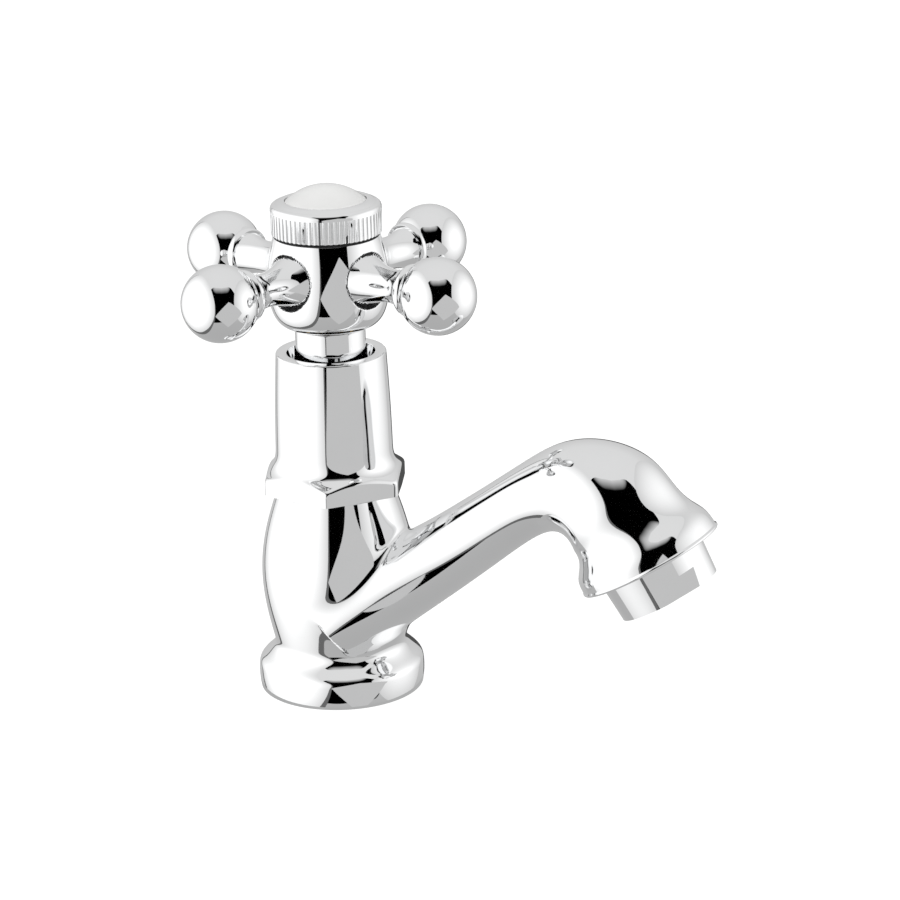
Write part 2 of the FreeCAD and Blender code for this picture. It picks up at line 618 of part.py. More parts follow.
def index_ring():
    """Fluted screw cap: seam groove, fluted side, plain rim and sloping shoulder."""
    seam_top, top = HUB_TOP_Z + RING_SEAM_H, HUB_TOP_Z + RING_HEIGHT
    corner = (RING_CORNER_R, HUB_TOP_Z + RING_CORNER_H)
    shoulder = (RING_SHOULDER_R, HUB_TOP_Z + RING_SHOULDER_H)
    crest = (RING_CREST_R, HUB_TOP_Z + RING_CREST_H)
    body = turned((0, HUB_TOP_Z), (RING_SEAM_R, HUB_TOP_Z), (RING_SEAM_R, seam_top),
                  (RING_R, seam_top), (RING_R, HUB_TOP_Z + RING_SIDE_H),
                  (corner, shoulder), (crest, (RING_BORE_R, top)), (0, top))
    body = body.fuse(rod(CAP_THREAD_R - SCREWED_GAP, CAP_SPIGOT_Z, HUB_TOP_Z))
    body = body.cut(rod(RING_BORE_R, BUTTON_SEAT_Z, top + CUT_OVER))
    body = body.cut(rod(RING_HOLLOW_R, CAP_SPIGOT_Z - CUT_OVER, BUTTON_SEAT_Z - RING_FLOOR))
    return body.cut(flutes(seam_top - CUT_OVER, HUB_TOP_Z + RING_FLUTE_H))


def flutes(low, high):
    """Ring of round grooves as one outline: an arc in each groove, a land between."""
    pitch = 2 * math.pi / FLUTE_COUNT
    land = FLUTE_LAND * pitch
    edges = []
    for k in range(FLUTE_COUNT):
        start, end = k * pitch + land, (k + 1) * pitch
        middle, after = (start + end) / 2, end + land
        points = [Vector(r * math.cos(a), r * math.sin(a), low) for r, a in (
            (RING_R, start), (RING_R - FLUTE_DEPTH, middle), (RING_R, end), (RING_R, after))]
        edges.append(Part.Arc(points[0], points[1], points[2]).toShape())
        edges.append(Part.LineSegment(points[2], points[3]).toShape())
    fluted = Part.Face(Part.Wire(edges)).extrude(Vector(0, 0, high - low))
    return rod(RING_R + CUT_OVER, low, high).cut(fluted)


def index_button():
    """White disc with a low dome."""
    radius, top = RING_BORE_R - BUTTON_GAP, HUB_TOP_Z + BUTTON_TOP_H
    rise = BUTTON_TOP_H - BUTTON_EDGE_H
    sphere_r = (radius ** 2 + rise ** 2) / (2 * rise)
    half = math.asin(radius / sphere_r) / 2
    via = (sphere_r * math.sin(half), top - sphere_r * (1 - math.cos(half)))
    return turned((0, BUTTON_SEAT_Z), (radius, BUTTON_SEAT_Z), (radius, top - rise),
                  (via, (0, top)))


def handle_screw():
    low = HUB_WEB_TOP_Z + SCREW_WASHER_H
    head_top = low + SCREW_HEAD_H
    screw = rod(SCREW_HEAD_R, low, head_top).fuse(rod(SCREW_R, low - SCREW_LENGTH, low))
    socket = prism(SCREW_SOCKET_FLATS, 6, head_top - SCREW_SOCKET_H, head_top + CUT_OVER)
    return screw.cut(socket)


def screw_washer():
    top = HUB_WEB_TOP_Z + SCREW_WASHER_H
    return ring(SCREW_WASHER_R, SCREW_R + LOOSE_GAP, HUB_WEB_TOP_Z, top)


def aerator_housing():
    """Threaded top inside the mouth, tapered shell with two wrench flats below."""
    shell = turned((0, 0), (AERATOR_SHELL_R, 0), (AERATOR_FOOT_R, AERATOR_SHELL_H),
                   (0, AERATOR_SHELL_H))
    flat_low = AERATOR_SHELL_H - AERATOR_FLAT_H
    for side in (0, 180):
        slab = Part.makeBox(AERATOR_SHELL_R, 2 * AERATOR_SHELL_R, AERATOR_FLAT_H + CUT_OVER,
                            Vector(AERATOR_FLATS / 2, -AERATOR_SHELL_R, flat_low))
        slab.rotate(AXIS_FOOT, UP, AERATOR_FLAT_TURN + side)
        shell = shell.cut(slab)
    body = shell.fuse(rod(AERATOR_THREAD_R - SCREWED_GAP, -AERATOR_THREAD_H, 0))
    lip_top = AERATOR_SHELL_H - AERATOR_LIP_H
    body = body.cut(rod(AERATOR_BORE_R, -AERATOR_THREAD_H - CUT_OVER, lip_top))
    return at_mouth(body.cut(rod(AERATOR_LIP_R, 0, AERATOR_SHELL_H + CUT_OVER)))


def aerator_seal():
    high = -AERATOR_THREAD_H
    return at_mouth(ring(AERATOR_THREAD_R - SCREWED_GAP, AERATOR_SEAL_BORE_R,
                         high - AERATOR_SEAL_H, high))


def aerator_insert():
    """Plastic jet plate that stands on the mesh, with a ring of holes."""
    foot = AERATOR_SHELL_H - AERATOR_LIP_H - AERATOR_MESH_H
    body = rod(AERATOR_BORE_R - RUNNING_GAP, foot - INSERT_H, foot)
    for k in range(INSERT_HOLE_COUNT):
        angle = 2 * math.pi * k / INSERT_HOLE_COUNT
        hole = rod(INSERT_HOLE_R, foot - INSERT_H - CUT_OVER, foot + CUT_OVER)
        hole.translate(Vector(INSERT_HOLE_RADIUS * math.cos(angle),
                              INSERT_HOLE_RADIUS * math.sin(angle), 0))
        body = body.cut(hole)
    return at_mouth(body)


def aerator_mesh():
    high = AERATOR_SHELL_H - AERATOR_LIP_H
    return at_mouth(rod(AERATOR_BORE_R - RUNNING_GAP, high - AERATOR_MESH_H, high))


PIECES = {
    "tap_body": tap_body(),
    "base_seal": base_seal(),
    "deck_washer": deck_washer(),
    "clamp_washer": clamp_washer(),
    "backnut": backnut(),
    "headwork_bonnet": headwork_bonnet(),
    "bonnet_washer": bonnet_washer(),
    "gland_packing": gland_packing(),
    "gland_nut": gland_nut(),
    "spindle": spindle(),
    "jumper": jumper(),
    "seat_washer": seat_washer(),
    "washer_nut": washer_nut(),
    "bonnet_shroud": bonnet_shroud(),
    "handle_hub": handle_hub(),
    "index_ring": index_ring(),
    "index_button": index_button(),
    "handle_screw": handle_screw(),
    "screw_washer": screw_washer(),
    "aerator_housing": aerator_housing(),
    "aerator_seal": aerator_seal(),
    "aerator_insert": aerator_insert(),
    "aerator_mesh": aerator_mesh(),
}
for arm_index in range(ARM_COUNT):
    PIECES["handle_arm_%d" % (arm_index + 1)] = handle_arm(arm_index)

os.makedirs("parts", exist_ok=True)
for name, piece in PIECES.items():
    solid = piece.Solids[0] if len(piece.Solids) == 1 else piece
    print("%-16s solids %d valid %s volume %.1f" % (
        name, len(piece.Solids), solid.isValid(), solid.Volume))
    solid.exportStep("parts/%s.step" % name)
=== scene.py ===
"""Looks of the cross handle tap: finishes, fine detail, studio and camera.

Metres, in the frame of the construction: the origin is under the base flange, +Z runs
up the column and the spout points along +X.  Outlines are listed in millimetres.
"""
import math

import bmesh
import bpy
import numpy as np
from mathutils import Matrix, Vector


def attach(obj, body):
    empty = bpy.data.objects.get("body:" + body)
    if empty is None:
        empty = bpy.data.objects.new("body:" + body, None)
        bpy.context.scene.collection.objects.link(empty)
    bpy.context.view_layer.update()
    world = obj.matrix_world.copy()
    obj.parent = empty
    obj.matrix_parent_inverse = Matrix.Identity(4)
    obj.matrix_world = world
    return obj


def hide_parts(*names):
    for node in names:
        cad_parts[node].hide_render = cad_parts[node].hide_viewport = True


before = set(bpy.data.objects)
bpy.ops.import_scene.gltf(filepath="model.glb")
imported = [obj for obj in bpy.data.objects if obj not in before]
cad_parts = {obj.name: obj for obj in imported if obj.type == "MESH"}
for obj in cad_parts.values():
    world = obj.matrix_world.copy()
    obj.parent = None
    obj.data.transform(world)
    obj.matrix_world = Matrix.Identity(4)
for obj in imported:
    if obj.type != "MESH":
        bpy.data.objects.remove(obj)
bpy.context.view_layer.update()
MM = 0.001

# ---- camera, matched to the photograph
PHOTO_WIDTH = 900                     # pixels, square
FOCAL_PX = 3341.5
CAMERA_DISTANCE = 0.86336
CAMERA_AZIMUTH = math.radians(25.0)   # from straight in front, towards the spout
CAMERA_ELEVATION = 0.322943
CAMERA_ROLL = 0.036248
TARGET = Vector((0, 0, 0.060))        # point on the column's axis
TARGET_PX = (334.92, 463.24)          # where the photograph shows it
SENSOR_WIDTH = 36.0
CLIP_NEAR, CLIP_FAR = 0.05, 20.0

# ---- finishes; scales are in cells per metre, lifts in metres
CHROME_COLOURS = ((0.90, 0.905, 0.91), (0.95, 0.952, 0.955))
CHROME_ROUGH = (0.018, 0.045)
HAZE_SCALE, RIPPLE_SCALE = 90.0, 160.0
RIPPLE_LIFT = 0.000005
GRAIN_FINER = 8                       # than the mottling of the same finish
COAT_ROUGH = 0.05

# ---- studio
STUDIO_CENTRE = Vector((0.02, 0, 0.08))
TENT_RADIUS = 1.6
TENT_SEGMENTS, TENT_RINGS = 64, 32
FLOOR_SIZE = 6.0
FLOOR_SHADE = 0.30
FLOOR_TO_CAMERA = 0.88
WORLD_LIGHT = 0.6
LAMP_DISTANCE = 1.2
CARD_RINGS = 14
CARD_STEPS = 72
CARD_WELD = 1e-5
# brightness of the tent's cloth, from below to overhead
TENT_SHADES = (0.44, 0.46, 0.56, 0.60, 0.66, 0.74, 0.76)
# drum that hides what is under the deck from the mirrors
DRUM_R, DRUM_H = 0.0235, 0.055
DRUM_GLOW = 0.45

# ---- meshing, in millimetres as all that follows
VOXEL = 0.5                           # of the rough casting
ROUGH_OVER = 2.0                      # how far the rough column runs past its ends
COLUMN_RINGS, SPOUT_RINGS, TUBE_SIDES = 60, 70, 96
CUT_OVER = 4.0                        # how far a cut reaches past the edge that it makes
ON_PLANE = 1e-2                       # open edges this near to a cut's plane belong to it
WELD = 1e-4                           # verts closer than this are one
BLANK_SPACING = 0.3                   # of the points along a blank's outline
TURN_STEPS = 300                      # of a blank's turn
PROBE = 0.02                          # step for slopes
ROUNDS = 3                            # passes that lay a mesh on its surface
PATH_STEPS = 160                      # stations tried along the spout
PATH_OVER = 3.0                       # how far the path runs on past the last section
SEARCH_CHUNK = 8000                   # points searched at a time
STATION_ROUNDS = 2                    # passes that draw a station nearer
STATION_STEP = 1.0                    # the most that a pass moves it
LEAST_SLOPE = 0.1                     # that a pass divides by
OFF_SECTION = 4 * PROBE               # points this far from any section are past the path's end
TINY = 1e-9                           # keeps divisors above nought

# ---- flange and column of the casting, as radii over the height
CREST_R, CREST_Z = 21.65, 3.9
CREST_ROUND = 0.0235                  # how fast the flange's side falls away from its crest
SHOULDER_R, SHOULDER_Z = 20.6, 8.0
SHOULDER_FALL = 1.15                  # of the shoulder's slope, radius over height
SHOULDER_ROUND = 1.6
WAIST_ROUND = 4.0
SWELL_Z = (11.3, 21.15, 31.0, 42.45, 53.9)
SWELL_R = (16.8, 18.95, 19.9, 18.55, 15.05)
FOOT_Z, LAND_Z = 0.0, 53.9
# rings that close the casting: radius and height, from the land down into the chamber
BONNET_SEAT = ((13.2, 53.9), (13.0, 54.1), (13.0, 58.8), (12.8, 59.0), (10.48, 59.0),
               (10.48, 46.0), (9.2, 46.0), (9.2, 22.6))
# and from the rim of the foot up into the recess
FOOT_RECESS = ((20.9, 0.0), (18.7, 0.0), (18.5, 0.2), (18.5, 2.0), (10.0, 2.0))

# ---- spout: sections along its axis
SPOUT_START_Z = 16.2
SPOUT_RISE = math.radians(36.6)
SPOUT_RUN = 63.2
ROOT_R, KNEE_R = 12.0, 8.8
TAPER_POWER = 1.6
STRAIGHT_AT = (6.0, 16.0, 27.0, 39.0, 51.0, 62.0)
ROOT_SPREAD = (1.64, 1.60, 1.40, 1.16, 1.03, 1.0)   # width over height of those sections
ROOT_LIFT = (1.3, 1.1, 0.5, 0.0, 0.0, 0.0)          # and how far they are raised
# forward of the knee, above it, tilt in degrees, radius
BEND_SECTIONS = (
    (7.1, 4.1, 24.0, 9.8),
    (13.9, 6.1, 7.0, 12.2),
    (20.6, 5.4, -15.0, 14.3),
    (25.7, 3.0, -36.0, 15.1),
    (29.3, -1.2, -51.0, 15.25),
    (31.2, -4.0, -56.0, 16.4),
    (32.9, -6.5, -58.5, 18.1),
    (34.2, -8.5, -59.5, 18.6),
    (35.5, -10.4, -60.0, 18.72),
)
MOUTH = np.array((86.24, 0.0, 43.48))
OUTLET = np.array((math.sin(math.radians(30)), 0.0, -math.cos(math.radians(30))))
RIM_DEPTH = 1.1                       # the rim's bead is turned from this far above it
# rings of the rim and the socket: radius and distance along the outlet
RIM_RINGS = ((18.75, -0.95), (18.93, -0.75), (19.0, -0.5), (18.93, -0.25), (18.75, -0.07),
             (18.5, 0.0), (12.2, 0.0), (12.05, -0.15), (12.05, -8.6), (9.0, -8.6), (9.0, -10.6))
BLEND = 3.6                           # reach of the round between column and spout

# ---- threaded tail
THREAD_PITCH = 1.814
THREAD_CREST_R, THREAD_CORE_R = 10.478, 9.32
# one tooth: radius, and height in pitches
THREAD_TOOTH = ((THREAD_CORE_R, 0.0), (THREAD_CREST_R, 0.08), (THREAD_CREST_R, 0.42),
                (THREAD_CORE_R, 0.58))
THREAD_STEPS = 96
THREAD_WELD = 1e-3
TAIL_TOP_Z, TAIL_FOOT_Z = 2.0, -50.0
TAIL_CHAMFER = 1.3
BORE_R, BORE_EASE, BORE_DEPTH = 6.5, 0.3, 6.0

# ---- shroud: hexagon foot and tapered sleeve
SHROUD_FLATS = 34.4
SHROUD_TURN = math.radians(-12.4)
CHAMFER_R, CHAMFER_Z = 15.4, 60.7     # where the sleeve leaves the turned corners
CHAMFER_LEAN = math.radians(30)
SLEEVE_Z, SLEEVE_R = (60.7, 75.5, 90.4), (15.2, 14.85, 14.15)
CORNER_SOFT, ARC_SOFT, FOOT_SOFT = 1.6, 1.3, 4.0
# outside of the rough blank, then what closes it: rim, bore and foot
SHROUD_BLANK = ((18.2, 54.4), (18.2, 58.2), (16.6, 60.0), (15.3, 62.0), (14.85, 75.5),
                (14.15, 90.0))
SHROUD_INSIDE = ((14.08, 90.2), (13.93, 90.35), (13.7, 90.4), (11.6, 90.4), (11.42, 90.3),
                 (11.35, 90.1), (12.65, 66.0), (12.65, 60.2), (13.05, 59.0), (13.05, 53.9),
                 (16.5, 53.9))
FOOT_LEVEL = 0.02                     # verts this near to the foot's edge are brought level

# ---- hub of the handle
BELLY_R, BELLY_Z, BELLY_ROUND = 15.6, 109.6, 31.0
HUB_FOOT_Z, HUB_FOOT_SOFT = 97.0, 7.5
SKIRT_R, SKIRT_SOFT = 9.0, 0.8
# outside of the rough blank, from the skirt's foot up
HUB_BLANK = ((9.0, 79.4), (9.0, 96.6), (9.4, 97.0), (11.0, 97.05), (12.8, 98.4), (14.3, 101.2),
             (15.4, 106.5), (15.6, 109.6), (14.85, 116.5), (13.54, 120.9))
# seam under the ring, pocket, hole for the square, hollow of the skirt
HUB_INSIDE = ((13.48, 120.95), (13.48, 121.72), (13.34, 121.72), (13.34, 121.2), (11.0, 121.2),
              (11.0, 117.6), (9.0, 117.5), (9.0, 104.0), (2.2, 104.0), (2.2, 103.5), (4.6, 103.5),
              (4.6, 84.0), (7.6, 84.0), (7.6, 79.0), (8.8, 79.0), (9.0, 79.2))
SEAM_R, SEAM_Z = 13.3, 120.93
ARM_TURNS = [math.radians(-20 + 90 * k) for k in range(4)]
ARM_Z = 111.3
RECESS_R, RECESS_FLOOR, RECESS_SOFT = 7.2, 13.45, 0.3
GROOVE_DEPTH = 0.3                    # below the barrel, where a recess takes the painted shade


# ============================================================ node helpers
def new_material(name):
    """Empty node material with its output, ready for a shader."""
    material = bpy.data.materials.new(name)
    material.use_nodes = True
    nodes = material.node_tree.nodes
    nodes.clear()
    output = nodes.new("ShaderNodeOutputMaterial")
    return material, nodes, material.node_tree.links, output


def object_noise(nodes, links, scale, detail):
    """Noise on the piece's own coordinates; scale is in cells per metre."""
    place = nodes.new("ShaderNodeTexCoord")
    noise = nodes.new("ShaderNodeTexNoise")
    noise.inputs["Scale"].default_value = scale
    noise.inputs["Detail"].default_value = detail
    links.new(place.outputs["Object"], noise.inputs["Vector"])
    return noise


def spread(nodes, links, source, low, high, start=0.3, end=0.7):
    """Maps a texture's middle range to the values low to high."""
    span = nodes.new("ShaderNodeMapRange")
    span.inputs["From Min"].default_value = start
    span.inputs["From Max"].default_value = end
    span.inputs["To Min"].default_value = low
    span.inputs["To Max"].default_value = high
    links.new(source, span.inputs["Value"])
    return span.outputs["Result"]


def larger_of(nodes, links, first, second):
    """The larger of two values."""
    node = nodes.new("ShaderNodeMath")
    node.operation = "MAXIMUM"
    links.new(first, node.inputs[0])
    links.new(second, node.inputs[1])
    return node.outputs["Value"]


def between(nodes, links, factor, *stops):
    """Colour that runs through the stops, evenly spaced, with the factor."""
    ramp = nodes.new("ShaderNodeValToRGB")
    elements = ramp.color_ramp.elements
    while len(elements) < len(stops):
        elements.new(0.5)
    for k, stop in enumerate(stops):
        elements[k].position = k / (len(stops) - 1)
        elements[k].color = (*stop, 1.0)
    links.new(factor, ramp.inputs["Fac"])
    return ramp.outputs["Color"]


def bump(nodes, links, shader, height, distance):
    """Lifts the shader's surface by the height, distance metres at most."""
    node = nodes.new("ShaderNodeBump")
    node.inputs["Distance"].default_value = distance
    links.new(height, node.inputs["Height"])
    links.new(node.outputs["Normal"], shader.inputs["Normal"])


# ============================================================ finishes
def polished_chrome():
    """Bright plate: nearly a mirror, with faint wiping haze and the ripple of buffing."""
    material, nodes, links, output = new_material("polished_chrome")
    shader = nodes.new("ShaderNodeBsdfPrincipled")
    shader.inputs["Metallic"].default_value = 1.0
    haze = object_noise(nodes, links, HAZE_SCALE, 3.0).outputs["Fac"]
    links.new(between(nodes, links, haze, *CHROME_COLOURS), shader.inputs["Base Color"])
    links.new(spread(nodes, links, haze, *CHROME_ROUGH), shader.inputs["Roughness"])
    ripple = object_noise(nodes, links, RIPPLE_SCALE, 1.0).outputs["Fac"]
    bump(nodes, links, shader, ripple, RIPPLE_LIFT)
    links.new(shader.outputs["BSDF"], output.inputs["Surface"])
    return material


def plain_finish(name, stops, rough, scale, lift, metallic=0.0, coat=0.0):
    """Mottled colour and roughness over a fine grain."""
    material, nodes, links, output = new_material(name)
    shader = nodes.new("ShaderNodeBsdfPrincipled")
    shader.inputs["Metallic"].default_value = metallic
    shader.inputs["Coat Weight"].default_value = coat
    shader.inputs["Coat Roughness"].default_value = COAT_ROUGH
    mottle = object_noise(nodes, links, scale, 4.0).outputs["Fac"]
    links.new(between(nodes, links, mottle, *stops), shader.inputs["Base Color"])
    links.new(spread(nodes, links, mottle, *rough), shader.inputs["Roughness"])
    grain = object_noise(nodes, links, scale * GRAIN_FINER, 2.0).outputs["Fac"]
    bump(nodes, links, shader, grain, lift)
    links.new(shader.outputs["BSDF"], output.inputs["Surface"])
    return material


# name, two colours, least and most roughness, cells per metre, height of the grain in metres
FINISHES = {
    "chrome": polished_chrome(),
    "enamel": plain_finish("white_enamel", ((0.93, 0.93, 0.92), (0.96, 0.96, 0.95)),
                           (0.10, 0.18), 300.0, 0.000004, coat=0.6),
    "brass": plain_finish("machined_brass", ((0.62, 0.43, 0.17), (0.78, 0.58, 0.27)),
                          (0.22, 0.38), 250.0, 0.00001, metallic=1.0),
    "steel": plain_finish("zinc_plated_steel", ((0.52, 0.53, 0.54), (0.68, 0.68, 0.66)),
                          (0.25, 0.42), 220.0, 0.00001, metallic=1.0),
    "rubber": plain_finish("black_rubber", ((0.012, 0.012, 0.013), (0.030, 0.030, 0.031)),
                           (0.55, 0.8), 400.0, 0.00003),
    "fibre": plain_finish("red_fibre", ((0.24, 0.06, 0.035), (0.38, 0.12, 0.06)),
                          (0.6, 0.85), 500.0, 0.00004),
    "packing": plain_finish("graphite_packing", ((0.03, 0.03, 0.035), (0.09, 0.09, 0.10)),
                            (0.4, 0.7), 600.0, 0.00004),
    "jet_plastic": plain_finish("white_acetal", ((0.70, 0.70, 0.68), (0.78, 0.78, 0.76)),
                                (0.35, 0.5), 350.0, 0.00001),
    # painted shade: a near-black, rough finish laid in the seam under the ring and in the arm
    # recesses, where shade falls
    "groove": plain_finish("dull_groove", ((0.010, 0.010, 0.011), (0.028, 0.028, 0.030)),
                           (0.6, 0.8), 500.0, 0.00001),
}
NODE_FINISH = {
    "enamel": ("index_button",),
    "brass": ("headwork_bonnet", "gland_nut", "spindle", "jumper", "washer_nut", "backnut"),
    "steel": ("handle_screw", "screw_washer", "clamp_washer", "aerator_mesh"),
    "rubber": ("base_seal", "deck_washer", "seat_washer", "aerator_seal"),
    "fibre": ("bonnet_washer",),
    "packing": ("gland_packing",),
    "jet_plastic": ("aerator_insert",),
}


def finish_nodes():
    """Every carried-over piece gets its finish, chrome where nothing else is named."""
    chosen = {name: slot for slot, names in NODE_FINISH.items() for name in names}
    for name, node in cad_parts.items():
        node.data.materials.clear()
        node.data.materials.append(FINISHES[chosen.get(name, "chrome")])


# ============================================================ camera
def place_camera():
    """Looks at the target, then turns so that the target lands at its pixel."""
    data = bpy.data.cameras.new("camera")
    data.sensor_width = SENSOR_WIDTH
    data.lens = FOCAL_PX * SENSOR_WIDTH / PHOTO_WIDTH
    data.clip_start, data.clip_end = CLIP_NEAR, CLIP_FAR
    back = Vector((math.sin(CAMERA_AZIMUTH) * math.cos(CAMERA_ELEVATION),
                   -math.cos(CAMERA_AZIMUTH) * math.cos(CAMERA_ELEVATION),
                   math.sin(CAMERA_ELEVATION)))
    right = Vector((math.cos(CAMERA_AZIMUTH), math.sin(CAMERA_AZIMUTH), 0))
    aim = Matrix((right, back.cross(right), back)).transposed()
    aside, below = (pixel - PHOTO_WIDTH / 2 for pixel in TARGET_PX)
    yaw = math.atan2(aside, FOCAL_PX)
    pitch = math.atan2(below, math.hypot(FOCAL_PX, aside))
    turn = (aim @ Matrix.Rotation(-CAMERA_ROLL, 3, "Z") @ Matrix.Rotation(pitch, 3, "X")
            @ Matrix.Rotation(yaw, 3, "Y"))
    camera = bpy.data.objects.new("camera", data)
    bpy.context.scene.collection.objects.link(camera)
    camera.matrix_world = Matrix.Translation(TARGET + back * CAMERA_DISTANCE) @ turn.to_4x4()
    bpy.context.scene.camera = camera


# ============================================================ mesh helpers
def new_object(name, shape):
    """Turns a bmesh into a linked object at the origin and frees it."""
    mesh = bpy.data.meshes.new(name)
    shape.to_mesh(mesh)
    shape.free()
    thing = bpy.data.objects.new(name, mesh)
    bpy.context.scene.collection.objects.link(thing)
    return thing


def dress(thing, slot, body, *nodes):
    """Finish, body and the nodes that a finished piece stands for."""
    thing.data.materials.append(FINISHES[slot])
    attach(thing, body)
    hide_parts(*nodes)
    return thing


def resampled(outline, spacing):
    """The outline with points at an even spacing."""
    outline = np.array(outline)
    run = np.concatenate(([0], np.cumsum(np.hypot(*np.diff(outline, axis=0).T))))
    at = np.linspace(0, run[-1], int(run[-1] / spacing) + 2)
    return np.stack([np.interp(at, run, column) for column in outline.T], axis=1).tolist()


def turned(blank, inside):
    """Closed shape turned from two outlines about +Z; the first is marked as skin."""
    shape = bmesh.new()
    mark = shape.verts.layers.int.new("skin")
    skin = resampled(blank, BLANK_SPACING)
    chain = []
    for radius, height in skin + list(inside):
        vert = shape.verts.new((radius, 0, height))
        vert[mark] = int(len(chain) < len(skin))
        chain.append(vert)
    edges = [shape.edges.new(pair) for pair in zip(chain, chain[1:] + chain[:1])]
    bmesh.ops.spin(shape, geom=chain + edges, axis=(0, 0, 1), cent=(0, 0, 0),
                   angle=2 * math.pi, steps=TURN_STEPS, use_merge=True)
    bmesh.ops.remove_doubles(shape, verts=shape.verts[:], dist=WELD)
    return shape


# ============================================================ curves and fields
def natural_spline(knots, values):
    """Smooth curve through the values, with straight ends."""
    knots, values = np.asarray(knots, float), np.asarray(values, float)
    gaps, count = np.diff(knots), len(knots)
    steps = np.diff(values) / gaps
    system, pull = np.eye(count), np.zeros(count)
    for k in range(1, count - 1):
        system[k, k - 1:k + 2] = gaps[k - 1], 2 * (gaps[k - 1] + gaps[k]), gaps[k]
        pull[k] = 6 * (steps[k] - steps[k - 1])
    bends = np.linalg.solve(system, pull)

    def curve(at):
        k = np.clip(np.searchsorted(knots, at) - 1, 0, count - 2)
        gap, before, after = gaps[k], at - knots[k], knots[k + 1] - at
        return ((bends[k] * after ** 3 + bends[k + 1] * before ** 3) / (6 * gap)
                + (values[k] / gap - bends[k] * gap / 6) * after
                + (values[k + 1] / gap - bends[k + 1] * gap / 6) * before)
    return curve


def soft_min(first, second, reach):
    """The smaller of two fields, rounded where they are closer than the reach."""
    near = np.clip(1 - np.abs(first - second) / reach, 0, 1)
    return np.minimum(first, second) - near ** 3 * reach / 6


def soft_max(first, second, reach):
    """The larger of two fields, rounded in the same way."""
    return -soft_min(-first, -second, reach)


def turned_gap(points, radius_at):
    """Distance of points outside a turned side, whose radius is known at each height."""
    height = points[:, 2]
    flare = (radius_at(height + PROBE) - radius_at(height - PROBE)) / (2 * PROBE)
    out = np.hypot(points[:, 0], points[:, 1]) - radius_at(height)
    return out / np.sqrt(1 + flare ** 2)


# ============================================================ skins
# A field takes points and returns a function that gives their distance outside a surface.
def slope_of(gap, points):
    """Direction in which the distance grows, which is the surface's normal."""
    sides = [gap(points + axis) - gap(points - axis) for axis in np.eye(3) * PROBE]
    slope = np.stack(sides, axis=1)
    return slope / np.maximum(np.linalg.norm(slope, axis=1, keepdims=True), TINY)


def lay_on(shape, field):
    """Moves the verts that are marked as skin onto the field's surface."""
    mark = shape.verts.layers.int["skin"]
    verts = [vert for vert in shape.verts if vert[mark]]
    points = np.array([vert.co for vert in verts])
    for _ in range(ROUNDS):
        gap = field(points)
        points = points - slope_of(gap, points) * gap(points)[:, None]
    for vert, point in zip(verts, points):
        vert.co = point


def finished(name, shape, field):
    """Object in metres whose skin has the surface's own normals."""
    bmesh.ops.recalc_face_normals(shape, faces=shape.faces[:])
    bmesh.ops.scale(shape, vec=(MM, MM, MM), verts=shape.verts[:])
    thing = new_object(name, shape)
    mesh = thing.data
    on_skin = [bool(item.value) for item in mesh.attributes["skin"].data]
    points = np.array([vert.co for vert in mesh.vertices]) / MM
    exact = slope_of(field(points), points)
    for face in mesh.polygons:
        face.use_smooth = True
    corners = []
    for face in mesh.polygons:
        whole = all(on_skin[index] for index in face.vertices)
        for index in face.vertices:
            corners.append(tuple(exact[index]) if whole else (0.0, 0.0, 0.0))
    mesh.normals_split_custom_set(corners)
    return thing


# ============================================================ casting
SWELL = natural_spline(SWELL_Z, SWELL_R)


def column_radius(height):
    """Flange crest, sloping shoulder, waist and swelling column as one smooth outline."""
    side = CREST_R - CREST_ROUND * (height - CREST_Z) ** 2
    slope = SHOULDER_R - SHOULDER_FALL * (height - SHOULDER_Z)
    flange = soft_min(side, slope, SHOULDER_ROUND)
    return soft_max(flange, SWELL(height), WAIST_ROUND)


def spout_sections():
    """Centre, tilt, radius and widening of each section, from the root to the mouth."""
    sections = []
    for distance, widened, lift in zip(STRAIGHT_AT, ROOT_SPREAD, ROOT_LIFT):
        share = (distance - STRAIGHT_AT[0]) / (SPOUT_RUN - STRAIGHT_AT[0])
        sections.append((distance * math.cos(SPOUT_RISE),
                         SPOUT_START_Z + lift + distance * math.sin(SPOUT_RISE), SPOUT_RISE,
                         KNEE_R + (ROOT_R - KNEE_R) * max(1 - share, 0) ** TAPER_POWER, widened))
    knee_x = SPOUT_RUN * math.cos(SPOUT_RISE)
    knee_z = SPOUT_START_Z + SPOUT_RUN * math.sin(SPOUT_RISE)
    for forward, above, tilt, radius in BEND_SECTIONS:
        sections.append((knee_x + forward, knee_z + above, math.radians(tilt), radius, 1.0))
    return np.array(sections)


SECTIONS = spout_sections()
STATIONS = np.concatenate(([0], np.cumsum(np.hypot(*np.diff(SECTIONS[:, :2], axis=0).T))))
PATH_END = STATIONS[-1] + PATH_OVER
AXIS_X, AXIS_Z, TILT, GIRTH, SPREAD = (natural_spline(STATIONS, column) for column in SECTIONS.T)


def ahead_of(x, z, station):
    """How far a point lies in front of the section at the station."""
    tilt = TILT(station)
    return (x - AXIS_X(station)) * np.cos(tilt) + (z - AXIS_Z(station)) * np.sin(tilt)


def beside(x, z, station):
    """How far a point lies above the axis within that section."""
    tilt = TILT(station)
    return (z - AXIS_Z(station)) * np.cos(tilt) - (x - AXIS_X(station)) * np.sin(tilt)


